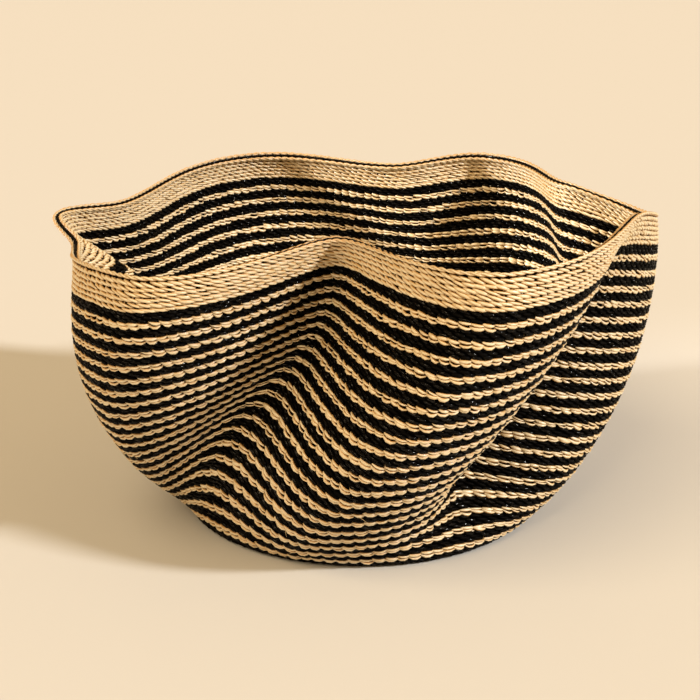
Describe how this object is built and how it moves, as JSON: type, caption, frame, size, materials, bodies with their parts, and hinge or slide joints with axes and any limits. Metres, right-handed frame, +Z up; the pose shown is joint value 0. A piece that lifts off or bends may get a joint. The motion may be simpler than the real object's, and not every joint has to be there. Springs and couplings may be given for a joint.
{
  "type": "woven bowl basket",
  "caption": "Open bowl basket of twined straw with a waved, swirling wall, a plain natural rim band and narrow black and natural stripes, on a flat round base.",
  "frame": {"origin": "middle of the flat underside, where the basket stands", "axes": "+Z up through the mouth, -Y towards the side with the deep front valley, +X to the viewer's right"},
  "size_m": [0.4095, 0.4112, 0.2163],
  "materials": {
    "natural_straw": "dry twisted straw with a low satin sheen",
    "black_straw": "black dyed straw with fine satin glints",
    "stake_straw": "black dyed split straw, matte"
  },
  "bodies": {
    "root": {"rim_outer_strand": "natural_straw", "rim_core_cord": "black_straw", "rim_inner_strand": "natural_straw", "rim_band_01": "natural_straw", "rim_band_02": "natural_straw", "black_stripe_01": "black_straw", "natural_stripe_01": "natural_straw", "black_stripe_02": "black_straw", "natural_stripe_02": "natural_straw", "black_stripe_03": "black_straw", "natural_stripe_03": "natural_straw", "black_stripe_04": "black_straw", "natural_stripe_04": "natural_straw", "black_stripe_05": "black_straw", "natural_stripe_05": "natural_straw", "black_stripe_06": "black_straw", "natural_stripe_06": "natural_straw", "black_stripe_07": "black_straw", "natural_stripe_07": "natural_straw", "black_stripe_08": "black_straw", "natural_stripe_08": "natural_straw", "black_stripe_09": "black_straw", "natural_stripe_09": "natural_straw", "black_stripe_10": "black_straw", "natural_stripe_10": "natural_straw", "black_stripe_11": "black_straw", "natural_stripe_11": "natural_straw", "black_stripe_12": "black_straw", "natural_stripe_12": "natural_straw", "black_stripe_13": "black_straw", "natural_stripe_13": "natural_straw", "black_stripe_14": "black_straw", "natural_stripe_14": "natural_straw", "black_stripe_15": "black_straw", "natural_stripe_15": "natural_straw", "black_stripe_16": "black_straw", "natural_stripe_16": "natural_straw", "black_stripe_17": "black_straw", "natural_stripe_17": "natural_straw", "black_stripe_18": "black_straw", "natural_stripe_18": "natural_straw", "black_stripe_19": "black_straw", "natural_stripe_19": "natural_straw", "black_stripe_20": "black_straw", "natural_stripe_20": "natural_straw", "black_stripe_21": "black_straw", "stake_bundle_01": "stake_straw", "stake_bundle_02": "stake_straw", "stake_bundle_03": "stake_straw", "stake_bundle_04": "stake_straw", "stake_bundle_05": "stake_straw", "stake_bundle_06": "stake_straw", "base_underside_disc": "black_straw", "base_inside_disc": "black_straw", "base_start_knot": "natural_straw"}
  },
  "joints": []
}
